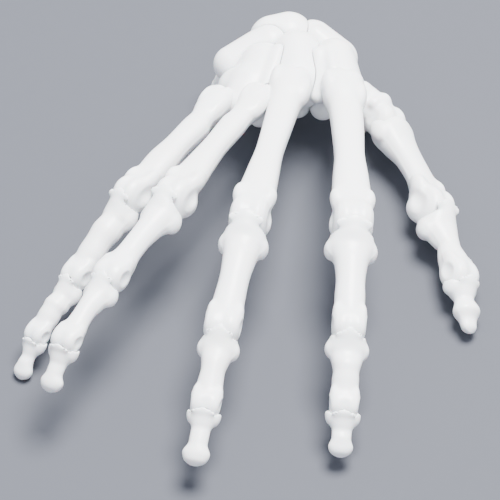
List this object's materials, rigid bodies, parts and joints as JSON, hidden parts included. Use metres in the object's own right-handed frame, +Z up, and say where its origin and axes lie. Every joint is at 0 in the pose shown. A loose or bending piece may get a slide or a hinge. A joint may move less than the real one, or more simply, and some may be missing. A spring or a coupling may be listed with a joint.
{
  "type": "articulated hand skeleton",
  "caption": "Life-size right hand skeleton in white plastic, palm down, with separate wrist, palm and finger bones and a pinned hinge at each finger joint.",
  "frame": {"origin": "middle of the underside of the whole hand's bounding box, on the surface that it rests on", "axes": "+Z up out of the back of the hand, fingers along -Y, thumb on the +X side"},
  "size_m": [0.154, 0.197, 0.0409],
  "materials": {
    "bone_plastic": "satin",
    "pin_nylon": "satin",
    "steel": "satin"
  },
  "bodies": {
    "palm": {"trapezium": "bone_plastic", "trapezoid": "bone_plastic", "capitate": "bone_plastic", "hamate": "bone_plastic", "scaphoid": "bone_plastic", "lunate": "bone_plastic", "triquetrum": "bone_plastic", "pisiform": "bone_plastic", "distal_row_rod": "steel", "proximal_row_rod": "steel", "midcarpal_dowel": "steel", "pisiform_dowel": "steel", "thumb_saddle_pin": "pin_nylon", "index_metacarpal": "bone_plastic", "index_metacarpal_dowel": "steel", "index_proximal_pin": "pin_nylon", "middle_metacarpal": "bone_plastic", "middle_metacarpal_dowel": "steel", "middle_proximal_pin": "pin_nylon", "ring_metacarpal": "bone_plastic", "ring_metacarpal_dowel": "steel", "ring_proximal_pin": "pin_nylon", "little_metacarpal": "bone_plastic", "little_metacarpal_dowel": "steel", "little_proximal_pin": "pin_nylon"},
    "thumb_metacarpal": {"thumb_metacarpal": "bone_plastic", "thumb_proximal_pin": "pin_nylon"},
    "index_proximal": {"index_proximal_phalanx": "bone_plastic", "index_middle_pin": "pin_nylon"},
    "index_middle": {"index_middle_phalanx": "bone_plastic", "index_distal_pin": "pin_nylon"},
    "index_distal": {"index_distal_phalanx": "bone_plastic"},
    "middle_proximal": {"middle_proximal_phalanx": "bone_plastic", "middle_middle_pin": "pin_nylon"},
    "middle_middle": {"middle_middle_phalanx": "bone_plastic", "middle_distal_pin": "pin_nylon"},
    "middle_distal": {"middle_distal_phalanx": "bone_plastic"},
    "ring_proximal": {"ring_proximal_phalanx": "bone_plastic", "ring_middle_pin": "pin_nylon"},
    "ring_middle": {"ring_middle_phalanx": "bone_plastic", "ring_distal_pin": "pin_nylon"},
    "ring_distal": {"ring_distal_phalanx": "bone_plastic"},
    "little_proximal": {"little_proximal_phalanx": "bone_plastic", "little_middle_pin": "pin_nylon"},
    "little_middle": {"little_middle_phalanx": "bone_plastic", "little_distal_pin": "pin_nylon"},
    "little_distal": {"little_distal_phalanx": "bone_plastic"},
    "thumb_proximal": {"thumb_proximal_phalanx": "bone_plastic", "thumb_distal_pin": "pin_nylon"},
    "thumb_distal": {"thumb_distal_phalanx": "bone_plastic"}
  },
  "joints": [
    {"name": "thumb_saddle", "type": "hinge", "parent": "palm", "child": "thumb_metacarpal", "pos_m": [0.04787, 0.0527, 0.0116], "axis": [0.7033, 0.2748, -0.6556], "range_deg": [-12, 8]},
    {"name": "index_knuckle", "type": "hinge", "parent": "palm", "child": "index_proximal", "pos_m": [0.03407, -0.0129, 0.0308], "axis": [0.9939, -0.0364, -0.1045], "range_deg": [-25, 65]},
    {"name": "index_middle_joint", "type": "hinge", "parent": "index_proximal", "child": "index_middle", "pos_m": [0.03193, -0.05252, 0.02434], "axis": [0.9939, -0.0364, -0.1045], "range_deg": [-15, 70]},
    {"name": "index_end_joint", "type": "hinge", "parent": "index_middle", "child": "index_distal", "pos_m": [0.03001, -0.07683, 0.0145], "axis": [0.9939, -0.0364, -0.1045], "range_deg": [-15, 50]},
    {"name": "middle_knuckle", "type": "hinge", "parent": "palm", "child": "middle_proximal", "pos_m": [0.00007, -0.012, 0.0319], "axis": [0.9806, -0.1959, -0.0087], "range_deg": [-25, 65]},
    {"name": "middle_middle_joint", "type": "hinge", "parent": "middle_proximal", "child": "middle_middle", "pos_m": [-0.00842, -0.05424, 0.02669], "axis": [0.9806, -0.1959, -0.0087], "range_deg": [-15, 70]},
    {"name": "middle_end_joint", "type": "hinge", "parent": "middle_middle", "child": "middle_distal", "pos_m": [-0.01364, -0.08004, 0.01909], "axis": [0.9806, -0.1959, -0.0087], "range_deg": [-15, 50]},
    {"name": "ring_knuckle", "type": "hinge", "parent": "palm", "child": "ring_proximal", "pos_m": [-0.02463, -0.0044, 0.0336], "axis": [0.8475, -0.4953, 0.1908], "range_deg": [-25, 65]},
    {"name": "ring_middle_joint", "type": "hinge", "parent": "ring_proximal", "child": "ring_middle", "pos_m": [-0.04449, -0.03854, 0.03319], "axis": [0.8475, -0.4953, 0.1908], "range_deg": [-15, 70]},
    {"name": "ring_end_joint", "type": "hinge", "parent": "ring_middle", "child": "ring_distal", "pos_m": [-0.05781, -0.06269, 0.02968], "axis": [0.8475, -0.4953, 0.1908], "range_deg": [-15, 50]},
    {"name": "little_knuckle", "type": "hinge", "parent": "palm", "child": "little_proximal", "pos_m": [-0.03933, 0.0019, 0.0283], "axis": [0.7619, -0.5974, 0.2504], "range_deg": [-25, 65]},
    {"name": "little_middle_joint", "type": "hinge", "parent": "little_proximal", "child": "little_middle", "pos_m": [-0.05708, -0.02514, 0.0178], "axis": [0.7619, -0.5974, 0.2504], "range_deg": [-15, 70]},
    {"name": "little_end_joint", "type": "hinge", "parent": "little_middle", "child": "little_distal", "pos_m": [-0.06939, -0.04403, 0.01019], "axis": [0.7619, -0.5974, 0.2504], "range_deg": [-15, 50]},
    {"name": "thumb_knuckle", "type": "hinge", "parent": "thumb_metacarpal", "child": "thumb_proximal", "pos_m": [0.06267, 0.0122, 0.0105], "axis": [0.7194, 0.2282, -0.6561], "range_deg": [-15, 25]},
    {"name": "thumb_end_joint", "type": "hinge", "parent": "thumb_proximal", "child": "thumb_distal", "pos_m": [0.07037, -0.01716, 0.00874], "axis": [0.7194, 0.2282, -0.6561], "range_deg": [-15, 40]}
  ]
}
